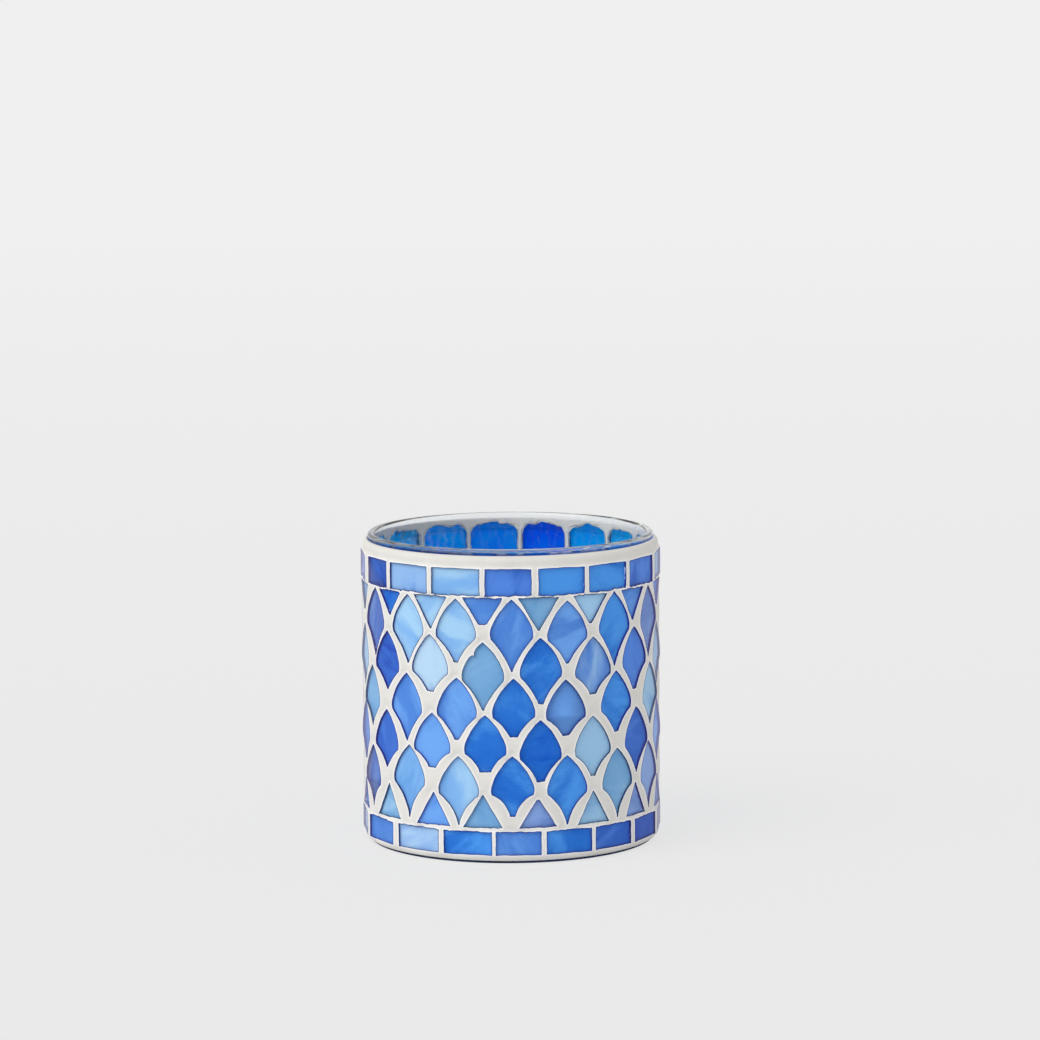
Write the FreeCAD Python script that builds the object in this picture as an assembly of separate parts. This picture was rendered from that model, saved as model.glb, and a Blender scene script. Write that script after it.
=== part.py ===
import FreeCAD, Part

import math
import os
import random

# Mosaic-glass votive candle holder: a clear glass cup, flat pieces of coloured glass glued
# round the outside of its wall, and white cement grout between them.
#
# Frame: millimetres, +Z up, origin on the cup's axis in the plane of the resting ring.
# The front of the holder faces -Y. Angles are measured from the front, towards +X.

# ---------------------------------------------------------------- driving dimensions, mm

# Clear glass cup
cup_height = 90.0
glass_outer_radius = 41.5
glass_wall = 2.0
floor_thickness = 4.5
floor_corner_radius = 3.0
heel_radius = 0.8
resting_ring_width = 6.0
push_up_depth = 0.9

# Build-up on the wall
adhesive_film = 0.2
tile_thickness = 1.3
grout_wipe = 0.1

# Heights of the courses
bare_lip_height = 1.8
top_border_height = 3.55
top_band_height = 7.65
top_band_joint = 0.65
bottom_band_joint = 1.2
bottom_band_height = 6.7
bottom_border_height = 1.8

# Grout borders
foot_clearance = 0.1
foot_land = 0.5
foot_border_land = 0.4
foot_border_bow = 0.18
rim_land = 0.35
rim_border_land = 1.55
rim_border_bow = 0.35

# Bands of oblongs
band_tile_count = 17
top_band_joint_width = 1.8
bottom_band_joint_width = 1.7
top_band_turn = -0.5
bottom_band_turn = 1.0

# Field of scales between the bands
column_count = 16
scale_row_count = 5
scale_side_gap = 4.6
scale_tip_gap = 4.0
field_head_gap = 0.5
field_foot_gap = 2.1
widest_above_next_tip = 1.3
shoulder_rise = 1.5
shoulder_drop = 1.3
shoulder_inset = 0.3
shoulder_bow = 0.22
arch_bow = 0.75
flank_bows = (-0.45, -0.45, -0.5, -0.55, -1.0)
sharp_tip = 0.35

# Part scales that close the field at its top and bottom
upper_triangle_side_gap = 5.6
upper_triangle_tip_gap = 3.4
lower_triangle_side_gap = 6.0
lower_triangle_tip_gap = 4.2

# ---------------------------------------------------------------- places that follow from them

tile_back_radius = glass_outer_radius + adhesive_film
tile_face_radius = tile_back_radius + tile_thickness
grout_radius = tile_face_radius - grout_wipe

grout_top = cup_height - bare_lip_height
top_band_top = grout_top - top_border_height
top_band_bottom = top_band_top - top_band_height
field_top = top_band_bottom - top_band_joint

grout_bottom = heel_radius + foot_clearance
bottom_band_bottom = grout_bottom + bottom_border_height
bottom_band_top = bottom_band_bottom + bottom_band_height
field_bottom = bottom_band_top + bottom_band_joint

# A scale is two row pitches tall less the gap from its tail to the next tip below it, and the
# rows fill the field between its head and foot gaps, so the pitch follows from the field.
first_row_top = field_top - field_head_gap
last_row_tail = field_bottom + field_foot_gap
row_pitch = (first_row_top - last_row_tail + scale_tip_gap) / (scale_row_count + 1)
scale_height = 2 * row_pitch - scale_tip_gap
scale_arch_height = row_pitch - widest_above_next_tip
column_pitch = 360.0 / column_count
band_pitch = 360.0 / band_tile_count
column_spacing = math.radians(column_pitch) * tile_face_radius
scale_width = column_spacing - scale_side_gap

# A part scale stands over or under the tips of the second row from its band.
upper_triangle_width = column_spacing - upper_triangle_side_gap
upper_triangle_height = field_head_gap + row_pitch - upper_triangle_tip_gap
lower_triangle_width = column_spacing - lower_triangle_side_gap
lower_triangle_height = field_foot_gap + row_pitch - lower_triangle_tip_gap

# ---------------------------------------------------------------- how each tile was cut

# The tiles were nipped by hand, and no two agree. Each entry is one tile, from the left edge of
# the front to its right edge, in mm: moved along the course, top raised, tail lengthened, and
# width of the tail where its tip was nipped off. The tiles round the back are drawn from the
# same ranges by a seeded generator.
scale_cuts = (
    ((2.2, 0.5, 0.9, 0.0), (1.6, 0.3, 1.2, 0.0), (1.0, 0.1, -0.6, 1.4), (0.3, 0.1, 1.9, 0.0),
     (-0.4, -0.6, 0.2, 0.8), (-1.2, 0.4, 2.2, 0.0), (-0.4, 0.3, 2.2, 0.0)),
    ((0.8, 0.0, -1.3, 0.0), (1.1, 0.7, -2.7, 2.2), (0.5, -0.8, 2.0, 0.0), (0.1, 0.3, 0.1, 1.5),
     (-0.6, -0.4, -1.6, 1.9), (-0.8, 0.8, -1.1, 1.8)),
    ((-0.5, 0.0, -0.6, 0.0), (0.9, 0.0, 1.2, 0.0), (1.1, 0.0, -0.5, 1.3), (0.7, 0.0, -1.6, 2.2),
     (-1.0, -0.8, -1.6, 2.2), (-0.6, 0.2, -1.0, 1.6), (0.8, 0.3, -0.3, 0.0)),
    ((0.1, -0.4, -0.9, 0.4), (1.6, 0.6, -3.3, 2.5), (1.0, 0.6, -2.8, 3.2), (-0.1, -0.9, 0.1, 2.2),
     (-0.8, -0.7, -0.5, 1.5), (0.2, -0.2, 0.9, 0.0)),
    ((-0.4, -0.8, 0.4, 0.0), (1.7, 1.7, 1.0, 0.0), (1.5, -0.2, 1.6, 0.0), (0.3, 0.2, -1.2, 1.6),
     (-0.7, -0.1, 1.9, 0.0), (-0.2, 0.2, 1.5, 0.0), (-0.5, -0.1, 1.4, 0.0)),
)

# Part scales: moved along the course, wider, longer, width of the nipped-off tip.
upper_triangle_cuts = (
    (2.2, -1.0, -1.4, 0.5), (1.3, -0.2, 0.9, 0.0), (0.5, 0.4, -0.9, 2.4),
    (-0.4, 0.4, 1.0, 0.0), (-1.4, 0.1, -0.2, 0.9), (-1.5, -0.3, 0.7, 0.6),
)
lower_triangle_cuts = (
    (1.1, 0.4, 0.6, 0.0), (1.9, 0.4, 0.2, 0.0), (0.2, 0.5, 0.3, 0.0),
    (-0.9, 0.0, -1.2, 0.8), (-0.7, -0.2, 0.2, 0.0), (-0.3, -0.7, 0.3, 0.0),
)

# Upright joints of the bands, the first one left of the first tile: moved along the band, and
# wider than the usual joint. The last seven of the top band are round the back, where its joints
# show through the mouth and the glass.
top_band_joints = (
    (2.2, 0.3), (0.15, 0.2), (0.3, -0.15), (0.4, -0.2),
    (-0.6, 0.25), (-1.0, -0.3), (-1.6, -0.2), (-1.8, 0.2),
    (-1.2, 0.0), (-0.9, -0.2), (-1.4, -0.3), (-2.0, -0.1),
    (-2.6, 0.0), (-2.2, -0.4), (-1.4, 0.1),
)
bottom_band_joints = (
    (0.8, 0.2), (1.6, 0.8), (2.4, -0.05), (2.1, -0.6),
    (0.4, -0.15), (-0.2, -0.35), (-0.7, 0.2), (-0.9, 0.2),
)
seen_band_joints = 8

hidden_shift_range = 0.5
hidden_tail_range = 1.3
hidden_nip_widths = (0.0, 0.0, 0.8, 1.5, 2.2)
hidden_joint_range = 0.3

# ---------------------------------------------------------------- which sheet each tile is from

# Seven sheets of streaky glass. Each course is read from the left edge of the front, on round
# the right side and the back.
top_band_sheets = (
    "cobalt", "ice", "sky", "cobalt", "azure", "azure", "cobalt",
    "sky", "ice", "sky", "azure", "cobalt", "azure", "azure", "sky", "ice", "cobalt")
upper_triangle_sheets = (
    "azure", "sky", "cornflower", "teal", "sky", "cornflower",
    "azure", "teal", "sky", "cornflower", "azure", "teal", "cornflower", "sky", "azure", "teal")
scale_sheets = (
    ("violet", "sky", "sky", "cornflower", "cornflower", "azure", "violet",
     "sky", "azure", "cornflower", "violet", "sky", "azure", "cornflower", "sky", "azure"),
    ("cobalt", "ice", "teal", "azure", "ice", "cobalt",
     "teal", "azure", "ice", "cobalt", "azure", "teal", "cobalt", "ice", "azure", "teal"),
    ("teal", "cornflower", "cornflower", "azure", "cornflower", "azure", "teal",
     "cobalt", "cornflower", "teal", "azure", "cobalt", "cornflower", "azure", "teal", "cobalt"),
    ("cobalt", "cornflower", "azure", "azure", "teal", "cobalt",
     "cornflower", "azure", "teal", "cobalt", "azure", "cornflower", "teal", "cobalt", "azure",
     "cornflower"),
    ("violet", "sky", "sky", "azure", "azure", "teal", "violet",
     "azure", "sky", "teal", "violet", "azure", "sky", "teal", "azure", "sky"),
)
lower_triangle_sheets = (
    "teal", "cornflower", "teal", "violet", "teal", "violet",
    "cornflower", "teal", "violet", "cornflower", "teal", "violet", "cornflower", "teal",
    "violet", "cornflower")
bottom_band_sheets = (
    "cornflower", "ice", "azure", "cornflower", "azure", "cobalt", "cobalt",
    "ice", "azure", "cornflower", "cobalt", "azure", "ice", "cobalt", "cornflower", "azure", "ice")

hand = random.Random(7)
origin = FreeCAD.Vector(0, 0, 0)
up = FreeCAD.Vector(0, 0, 1)


# ---------------------------------------------------------------- small geometry helpers

def profile_point(radius, z):
    """A point of a turned profile, in the XZ plane."""
    return FreeCAD.Vector(radius, 0, z)


def tile_point(along, z):
    """A point on the back plane of a tile at the front, along mm to the right of its middle."""
    return FreeCAD.Vector(along, -tile_back_radius, z)


def line(start, end):
    return Part.makeLine(start, end)


def bowed(start, end, bow):
    """An arc from start to end that bows out of a clockwise outline, or in if bow is negative."""
    middle = (start + end) * 0.5
    chord = end - start
    outward = FreeCAD.Vector(0, 1, 0).cross(chord).normalize()
    return Part.Arc(start, middle - outward * bow, end).toShape()


def corner(centre, radius, first_degrees, last_degrees):
    """A quarter round of a turned profile, in the XZ plane."""
    points = []
    for share in (0.0, 0.5, 1.0):
        turn = math.radians(first_degrees + share * (last_degrees - first_degrees))
        points.append(centre + profile_point(radius * math.cos(turn), radius * math.sin(turn)))
    return Part.Arc(*points).toShape()


def turned(edges):
    """The closed solid that a profile sweeps round the cup's axis."""
    return Part.Face(Part.Wire(edges)).revolve(origin, up, 360)


# ---------------------------------------------------------------- clear glass cup

def glass_cup():
    """A straight cup with a fire-rounded lip and a base hollowed inside its resting ring."""
    inner_radius = glass_outer_radius - glass_wall
    lip_radius = glass_wall / 2
    lip_base = cup_height - lip_radius
    lip_middle = glass_outer_radius - lip_radius
    ring_outer = glass_outer_radius - heel_radius
    ring_inner = ring_outer - resting_ring_width
    floor_edge = inner_radius - floor_corner_radius
    corner_top = floor_thickness + floor_corner_radius
    # The hollow is a cap of a large sphere, and its arc passes through the point half way out.
    hollow_sphere = (ring_inner ** 2 + push_up_depth ** 2) / (2 * push_up_depth)
    half_out = ring_inner / 2
    half_out_depth = math.sqrt(hollow_sphere ** 2 - half_out ** 2) - (hollow_sphere - push_up_depth)
    hollow_middle = profile_point(half_out, half_out_depth)
    edges = [
        line(profile_point(0, floor_thickness), profile_point(0, push_up_depth)),
        Part.Arc(profile_point(0, push_up_depth), hollow_middle, profile_point(ring_inner, 0)).toShape(),
        line(profile_point(ring_inner, 0), profile_point(ring_outer, 0)),
        corner(profile_point(ring_outer, heel_radius), heel_radius, -90, 0),
        line(profile_point(glass_outer_radius, heel_radius), profile_point(glass_outer_radius, lip_base)),
        corner(profile_point(lip_middle, lip_base), lip_radius, 0, 180),
        line(profile_point(inner_radius, lip_base), profile_point(inner_radius, corner_top)),
        corner(profile_point(floor_edge, corner_top), floor_corner_radius, 0, -90),
        line(profile_point(floor_edge, floor_thickness), profile_point(0, floor_thickness)),
    ]
    return turned(edges)


# ---------------------------------------------------------------- outlines of the tiles

def oblong_outline(width, top, bottom):
    corners = [
        tile_point(-width / 2, top), tile_point(width / 2, top),
        tile_point(width / 2, bottom), tile_point(-width / 2, bottom),
    ]
    return Part.makePolygon(corners + corners[:1])


def scale_outline(top, tail, nip, flank_bow):
    """A pointed arch over hollow flanks, with rounded shoulders and a pointed or nipped tail."""
    half = scale_width / 2
    widest = top - scale_arch_height
    half_nip = max(nip, sharp_tip) / 2
    tip = tile_point(0, top)
    right_upper = tile_point(half - shoulder_inset, widest + shoulder_rise)
    right_lower = tile_point(half - shoulder_inset, widest - shoulder_drop)
    left_upper = tile_point(shoulder_inset - half, widest + shoulder_rise)
    left_lower = tile_point(shoulder_inset - half, widest - shoulder_drop)
    tail_right = tile_point(half_nip, tail)
    tail_left = tile_point(-half_nip, tail)
    return Part.Wire([
        bowed(tip, right_upper, arch_bow),
        bowed(right_upper, right_lower, shoulder_bow),
        bowed(right_lower, tail_right, flank_bow),
        line(tail_right, tail_left),
        bowed(tail_left, left_lower, flank_bow),
        bowed(left_lower, left_upper, shoulder_bow),
        bowed(left_upper, tip, arch_bow),
    ])


def triangle_outline(width, base, tip, nip):
    """A part scale with its straight side on the band and its tip in the field."""
    half_nip = max(nip, sharp_tip) / 2
    corners = [
        tile_point(-width / 2, base), tile_point(width / 2, base),
        tile_point(half_nip, tip), tile_point(-half_nip, tip),
    ]
    return Part.makePolygon(corners + corners[:1])


# ---------------------------------------------------------------- courses of tiles

def step_angle(index, seen, pitch):
    """Angle of a tile's place in its course; the seen ones are spread evenly about the front."""
    return (index - (seen - 1) / 2) * pitch


def along_to_angle(distance):
    return math.degrees(distance / tile_face_radius)


def scale_course(row):
    """Angle and outline of each scale of one row, the rows counted from the top."""
    cuts = scale_cuts[row % len(scale_cuts)]
    flank_bow = flank_bows[row % len(flank_bows)]
    places = []
    for index in range(column_count):
        if index < len(cuts):
            shift, raised, longer, nip = cuts[index]
        else:
            shift = hand.uniform(-hidden_shift_range, hidden_shift_range)
            raised = hand.uniform(-hidden_shift_range, hidden_shift_range)
            longer = hand.uniform(-hidden_tail_range, hidden_tail_range / 2)
            nip = hand.choice(hidden_nip_widths)
        course_top = first_row_top - row * row_pitch
        top = min(course_top + raised, field_top)
        tail = max(course_top - scale_height - longer, field_bottom)
        angle = step_angle(index, len(cuts), column_pitch) + along_to_angle(shift)
        places.append((angle, scale_outline(top, tail, nip, flank_bow)))
    return places


def triangle_course(cuts, width, base, height):
    """The part scales along one band; a negative height points them down."""
    places = []
    for index in range(column_count):
        if index < len(cuts):
            shift, wider, longer, nip = cuts[index]
        else:
            shift = hand.uniform(-hidden_shift_range, hidden_shift_range)
            wider = hand.uniform(-hidden_shift_range, 0)
            longer = hand.uniform(-hidden_tail_range, 0)
            nip = hand.choice(hidden_nip_widths)
        tip = base + height + math.copysign(1, height) * longer
        angle = step_angle(index, len(cuts), column_pitch) + along_to_angle(shift)
        places.append((angle, triangle_outline(width + wider, base, tip, nip)))
    return places


def band_course(joints, joint_width, turn, top, bottom):
    """Oblongs that fill the turn between upright joints; each joint is left of its tile."""
    joint_sides = []
    for index in range(band_tile_count):
        if index < len(joints):
            shift, wider = joints[index]
        else:
            shift = hand.uniform(-hidden_joint_range, hidden_joint_range)
            wider = hand.uniform(-hidden_joint_range, hidden_joint_range)
        middle = turn + step_angle(index, seen_band_joints, band_pitch) + along_to_angle(shift)
        half = along_to_angle((joint_width + wider) / 2)
        joint_sides.append((middle - half, middle + half))
    first_start, first_end = joint_sides[0]
    joint_sides.append((first_start + 360.0, first_end + 360.0))
    places = []
    for index in range(band_tile_count):
        start = joint_sides[index][1]
        end = joint_sides[index + 1][0]
        width = 2 * tile_face_radius * math.tan(math.radians(end - start) / 2)
        places.append(((start + end) / 2, oblong_outline(width, top, bottom)))
    return places


def all_courses():
    """Course name, its tiles as (angle, outline), and the sheet that each tile is cut from."""
    courses = [(
        "top_band",
        band_course(top_band_joints, top_band_joint_width, top_band_turn, top_band_top, top_band_bottom),
        top_band_sheets,
    ), (
        "upper_triangles",
        triangle_course(upper_triangle_cuts, upper_triangle_width, field_top, -upper_triangle_height),
        upper_triangle_sheets,
    )]
    for row in range(scale_row_count):
        courses.append((f"scale_row_{row + 1}", scale_course(row), scale_sheets[row % len(scale_sheets)]))
    courses.append((
        "lower_triangles",
        triangle_course(lower_triangle_cuts, lower_triangle_width, field_bottom, lower_triangle_height),
        lower_triangle_sheets,
    ))
    courses.append((
        "bottom_band",
        band_course(bottom_band_joints, bottom_band_joint_width, bottom_band_turn,
                    bottom_band_top, bottom_band_bottom),
        bottom_band_sheets,
    ))
    return courses


# ---------------------------------------------------------------- solids of one tile

def facing(solid, angle):
    """Turns a solid made at the front to its place round the cup."""
    turned_solid = solid.copy()
    turned_solid.rotate(origin, up, angle)
    return turned_solid


def outward(length):
    return FreeCAD.Vector(0, -length, 0)


def tile_solid(outline):
    return Part.Face(outline).extrude(outward(tile_thickness))


def pocket_solid(outline, inner_radius, outer_radius):
    """The outline carried straight through everything between two distances from the axis."""
    start = outline.copy()
    start.translate(outward(inner_radius - tile_back_radius))
    return Part.Face(start).extrude(outward(outer_radius - inner_radius))


def adhesive_solid(outline, cup_core):
    """Clear glue that fills the space between the round wall and the flat back of a tile."""
    block = pocket_solid(outline, glass_outer_radius - glass_wall / 2, tile_back_radius)
    return block.cut(cup_core)


# ---------------------------------------------------------------- grout

def grout_shell():
    """The turned body of the grout, before the tiles take their places out of it."""
    foot_turn = profile_point(glass_outer_radius + foot_land, grout_bottom)
    foot_end = profile_point(grout_radius, bottom_band_bottom - foot_border_land)
    rim_start = profile_point(grout_radius, top_band_top + rim_border_land)
    rim_turn = profile_point(glass_outer_radius + rim_land, grout_top)
    rim_glass = profile_point(glass_outer_radius, grout_top)
    foot_glass = profile_point(glass_outer_radius, grout_bottom)
    edges = [
        line(foot_glass, foot_turn),
        bowed(foot_end, foot_turn, foot_border_bow),
        line(foot_end, rim_start),
        bowed(rim_turn, rim_start, rim_border_bow),
        line(rim_turn, rim_glass),
        line(rim_glass, foot_glass),
    ]
    return turned(edges)


# ---------------------------------------------------------------- build and export

def write(name, shape):
    shape.exportStep(os.path.join("parts", name + ".step"))


def build():
    os.makedirs("parts", exist_ok=True)
    write("glass_cup", glass_cup())

    # The pockets start inside the cup's wall and end clear of the grout's face, so that each one
    # goes right through the grout.
    cup_core = Part.makeCylinder(glass_outer_radius, cup_height, origin, up)
    pocket_inner = glass_outer_radius - glass_wall / 2
    pocket_outer = grout_radius + tile_thickness
    pockets = []
    for course, places, sheets in all_courses():
        tiles_by_sheet = {}
        adhesive = []
        for index, (angle, outline) in enumerate(places):
            sheet = sheets[index % len(sheets)]
            tiles_by_sheet.setdefault(sheet, []).append(facing(tile_solid(outline), angle))
            adhesive.append(facing(adhesive_solid(outline, cup_core), angle))
            pockets.append(facing(pocket_solid(outline, pocket_inner, pocket_outer), angle))
        for sheet, tiles in tiles_by_sheet.items():
            write(f"tiles_{course}_{sheet}", Part.makeCompound(tiles))
        write(f"adhesive_{course}", Part.makeCompound(adhesive))

    grout = grout_shell().cut(pockets)
    write("grout", grout)


build()
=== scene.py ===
import math
import random

import bmesh
import bpy
from mathutils import Matrix, Vector, kdtree, noise
from mathutils.geometry import intersect_point_line


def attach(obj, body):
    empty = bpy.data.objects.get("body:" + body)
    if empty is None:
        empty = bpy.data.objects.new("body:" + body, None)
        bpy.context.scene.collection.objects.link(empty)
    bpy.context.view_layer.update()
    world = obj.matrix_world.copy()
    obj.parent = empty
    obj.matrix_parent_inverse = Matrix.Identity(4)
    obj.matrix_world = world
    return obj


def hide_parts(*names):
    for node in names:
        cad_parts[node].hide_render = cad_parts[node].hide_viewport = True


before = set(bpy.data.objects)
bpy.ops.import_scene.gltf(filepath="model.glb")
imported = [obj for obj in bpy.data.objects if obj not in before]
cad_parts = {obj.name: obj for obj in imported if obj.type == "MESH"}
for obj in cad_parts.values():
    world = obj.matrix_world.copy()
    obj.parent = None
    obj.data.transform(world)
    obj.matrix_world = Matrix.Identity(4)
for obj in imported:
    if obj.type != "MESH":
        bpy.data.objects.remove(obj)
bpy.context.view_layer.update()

# Mosaic-glass votive candle holder. Metres, +Z up, the origin on the cup's axis in the plane of
# its resting ring, its front towards -Y. The sections follow the object as it is put together.

# ---------------------------------------------------------------- clear glass cup
# A straight cup of clear soda-lime glass, pressed, with a fire-polished lip and a base that is
# pushed up inside a flat resting ring. Everything else is glued round the outside of its wall.
mm = 0.001
cup_height = 89.99 * mm
glass_outer_radius = 41.5 * mm
bond_depth = 0.03 * mm          # the modelled wall reaches this far into the grout that wets it
wall_radius = glass_outer_radius + bond_depth
glass_inner_radius = 39.5 * mm
lip_radius = 0.98 * mm
floor_top = 4.5 * mm
floor_corner_radius = 3.0 * mm
heel_radius = 0.8 * mm
ring_inner_radius = 34.7 * mm
push_up_depth = 0.9 * mm
turn_steps = 192
long_side = 20 * mm             # a longer side of the profile is divided by so many cuts
side_cuts = 24
soda_lime_ior = 1.52
wave_length = 9 * mm            # of the mould's waves, round the cup
waves_up = 5.0                  # times as many up it
wave_height = 0.12 * mm
clear_tint = "FDFEFE"


def linear(hex_colour):
    """An sRGB hex colour as linear RGBA."""
    shares = [int(hex_colour[i:i + 2], 16) / 255 for i in (0, 2, 4)]
    return tuple(c / 12.92 if c <= 0.04045 else ((c + 0.055) / 1.055) ** 2.4 for c in shares) + (1.0,)


def new_material(name):
    """An empty node material and its tree."""
    material = bpy.data.materials.new(name)
    material.use_nodes = True
    material.node_tree.nodes.clear()
    return material, material.node_tree


def add_node(tree, kind, settings=None, links=None):
    """Adds a node, sets its properties and sockets, and links outputs into its inputs."""
    node = tree.nodes.new(kind)
    for name, value in (settings or {}).items():
        if isinstance(name, int) or name in node.inputs:
            node.inputs[name].default_value = value
        else:
            setattr(node, name, value)
    for name, output in (links or {}).items():
        tree.links.new(output, node.inputs[name])
    return node


def mesh_of(shape, name):
    """The mesh of a finished bmesh, which is freed."""
    mesh = bpy.data.meshes.new(name)
    shape.to_mesh(mesh)
    shape.free()
    return mesh


def place_piece(name, mesh, materials, slot, *nodes):
    """Puts a finished mesh in the scene, on the holder's one body, in the stead of its CAD nodes."""
    piece = bpy.data.objects.new(name, mesh)
    bpy.context.scene.collection.objects.link(piece)
    for material in materials:
        mesh.materials.append(material)
    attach(piece, "root")
    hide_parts(*nodes)
    return piece


# Pressed soda-lime glass, fire-polished: clear, with the slow waves that the mould leaves, which
# bend what is seen through the lip. Seen from outside, the wall is painted with a dark navy line at its
# foot and a blue line below the lip, where the grout ends:
# a painted shade for the contact shadow and the tiles' blue seen through the wall. Lamps shine through
# without a caustic.
painted_shade_lines = (       # height on the outside of the wall, in mm, and the painted shade colour there
    (0.0, "4C5670"), (0.8, "4C5670"), (1.1, clear_tint),
    (88.0, clear_tint), (88.2, "788EC8"), (88.75, "788EC8"), (89.2, clear_tint),
)
pressed_glass, tree = new_material("pressed_clear_soda_lime_glass")
coords = add_node(tree, "ShaderNodeTexCoord")
drawn_round = add_node(tree, "ShaderNodeMapping", {"Scale": (1.0, 1.0, waves_up)},
                       {"Vector": coords.outputs["Object"]})
waves = add_node(tree, "ShaderNodeTexNoise",
                 {"Scale": 1 / wave_length, "Detail": 1.5, "Roughness": 0.5},
                 {"Vector": drawn_round.outputs["Vector"]})
bump = add_node(tree, "ShaderNodeBump", {"Strength": 0.35, "Distance": wave_height},
                {"Height": waves.outputs["Fac"]})
apart = add_node(tree, "ShaderNodeSeparateXYZ", None, {0: coords.outputs["Object"]})
height = add_node(tree, "ShaderNodeMath", {"operation": "DIVIDE", 1: cup_height},
                  {0: apart.outputs["Z"]})
painted_lines = add_node(tree, "ShaderNodeValToRGB", None, {"Fac": height.outputs[0]})
painted_lines.color_ramp.elements.remove(painted_lines.color_ramp.elements[1])
painted_lines.color_ramp.elements[0].color = linear(painted_shade_lines[0][1])
for line_height, colour in painted_shade_lines[1:]:
    painted_lines.color_ramp.elements.new(line_height * mm / cup_height).color = linear(colour)
levelled = add_node(tree, "ShaderNodeMapping", {"Scale": (1.0, 1.0, 0.0)},
                    {"Vector": coords.outputs["Object"]})
from_axis = add_node(tree, "ShaderNodeVectorMath", {"operation": "LENGTH"},
                     {0: levelled.outputs["Vector"]})
outside = add_node(tree, "ShaderNodeMath", {"operation": "GREATER_THAN", 1: wall_radius - heel_radius},
                   {0: from_axis.outputs["Value"]})
side = add_node(tree, "ShaderNodeNewGeometry")
from_outside = add_node(tree, "ShaderNodeMath", {"operation": "SUBTRACT"},
                        {0: outside.outputs[0], 1: side.outputs["Backfacing"]})
# Seen from outside only, the wall takes the painted shade lines as its tint.
painted_tint = add_node(tree, "ShaderNodeMix", {"data_type": "RGBA", 6: linear(clear_tint)},
                {0: from_outside.outputs[0], 7: painted_lines.outputs["Color"]})
clear = add_node(tree, "ShaderNodeBsdfGlass", {"Roughness": 0.0, "IOR": soda_lime_ior},
                 {"Color": painted_tint.outputs[2], "Normal": bump.outputs["Normal"]})
lit_through = add_node(tree, "ShaderNodeBsdfTransparent", {"Color": linear("FBFDFD")})
light_path = add_node(tree, "ShaderNodeLightPath")
surface = add_node(tree, "ShaderNodeMixShader", None,
                   {0: light_path.outputs["Is Shadow Ray"], 1: clear.outputs[0],
                    2: lit_through.outputs[0]})
add_node(tree, "ShaderNodeOutputMaterial", None, {"Surface": surface.outputs[0]})

shape = bmesh.new()
profile = [
    shape.verts.new((radius, 0, z)) for radius, z in (
        (0, floor_top), (glass_inner_radius, floor_top), (glass_inner_radius, cup_height),
        (wall_radius, cup_height), (wall_radius, 0), (ring_inner_radius, 0), (0, push_up_depth))
]
for pair in zip(profile, profile[1:]):
    shape.edges.new(pair)
for corners, radius, segments in (
        (profile[1:2], floor_corner_radius, 10), (profile[2:4], lip_radius, 10),
        (profile[4:5], heel_radius, 6)):
    bmesh.ops.bevel(shape, geom=corners, affect="VERTICES", offset=radius, segments=segments,
                    profile=0.5, material=-1)
bmesh.ops.bisect_edges(shape, edges=[e for e in shape.edges if e.calc_length() > long_side],
                       cuts=side_cuts)
for vert in shape.verts:
    if vert.co.z < push_up_depth and vert.co.x < ring_inner_radius:
        vert.co.z = push_up_depth * (1 - (vert.co.x / ring_inner_radius) ** 2)
bmesh.ops.spin(shape, geom=shape.verts[:] + shape.edges[:], axis=(0, 0, 1), cent=(0, 0, 0),
               dvec=(0, 0, 0), angle=math.tau, steps=turn_steps, use_merge=True, use_duplicate=False)
bmesh.ops.remove_doubles(shape, verts=shape.verts, dist=1e-6)
bmesh.ops.recalc_face_normals(shape, faces=shape.faces)
for face in shape.faces:
    face.smooth = True
place_piece("cup", mesh_of(shape, "cup"), [pressed_glass], "clear_glass", "glass_cup")

# ---------------------------------------------------------------- coloured glass tiles
# Flat pieces nipped by hand from sheets of streaky glass, 1.3 mm thick and glued on one by one.
# The colour lies in the back of the sheet under clear glass, so a tile shows its cut sides
# round its edge wherever it is seen at a slant. They, and the rounded rims of the face, are painted dark
# navy: a painted shade.
tile_face_radius = 43.0 * mm
clear_depth = 0.75 * mm         # clear glass over the streaks
tile_thickness = 1.3 * mm
layer_gap = 0.01 * mm           # keeps the clear layer's back off the streaks
edge_bevel = 0.1 * mm
outline_step = 0.25 * mm
top_band_top = 84.65 * mm
streak_spacing = 9.0 * mm
thread_spacing = 1.8 * mm
shell_width = 0.8 * mm          # of the shell-shaped breaks on a cut side
ripple_length = 4 * mm          # of the roller's marks on the face

# Each of the nippers' marks is a wander of the edge, with its reach and its length along the edge.
nip_seed = 1795478873           # without a seed, Blender draws its vector noise anew on each run
noise.seed_set(nip_seed)
wander, wander_length = 0.12 * mm, 3.2 * mm
nibble, nibble_length = 0.05 * mm, 1.1 * mm
ragged_wander, ragged_wander_length = 0.3 * mm, 2.2 * mm
splinter, splinter_length = 1.0 * mm, 1.1 * mm
splinter_spacing = 2.6 * mm     # between the worst runs of splinters
ragged_joints = (76.7 * mm, 10.0 * mm)      # heights of the inner joints of the two bands
ragged_reach = 0.8 * mm         # how far above and below them the edges are ragged
tail_raggedness = 0.7
tail_reach = 0.5 * mm
chipped_row = "scale_row_2"     # one scale of it lost a bite of its shoulder
chipped_at = Vector((-10.9, -41.7, 60.8)) * mm
chip_size = 0.9 * mm
chip_edge, chip_edge_length = 0.7 * mm, 0.7 * mm


def raggedness(place, tile):
    """How badly the glass broke there: along the inner joints of the two bands, and at the tails."""
    ragged = sum(math.exp(-((place.z - joint) / ragged_reach) ** 2) for joint in ragged_joints)
    if tile["tapers"]:
        ragged += tail_raggedness * math.exp(-((place.z - tile["tail"]) / tail_reach) ** 2)
    return ragged


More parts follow.
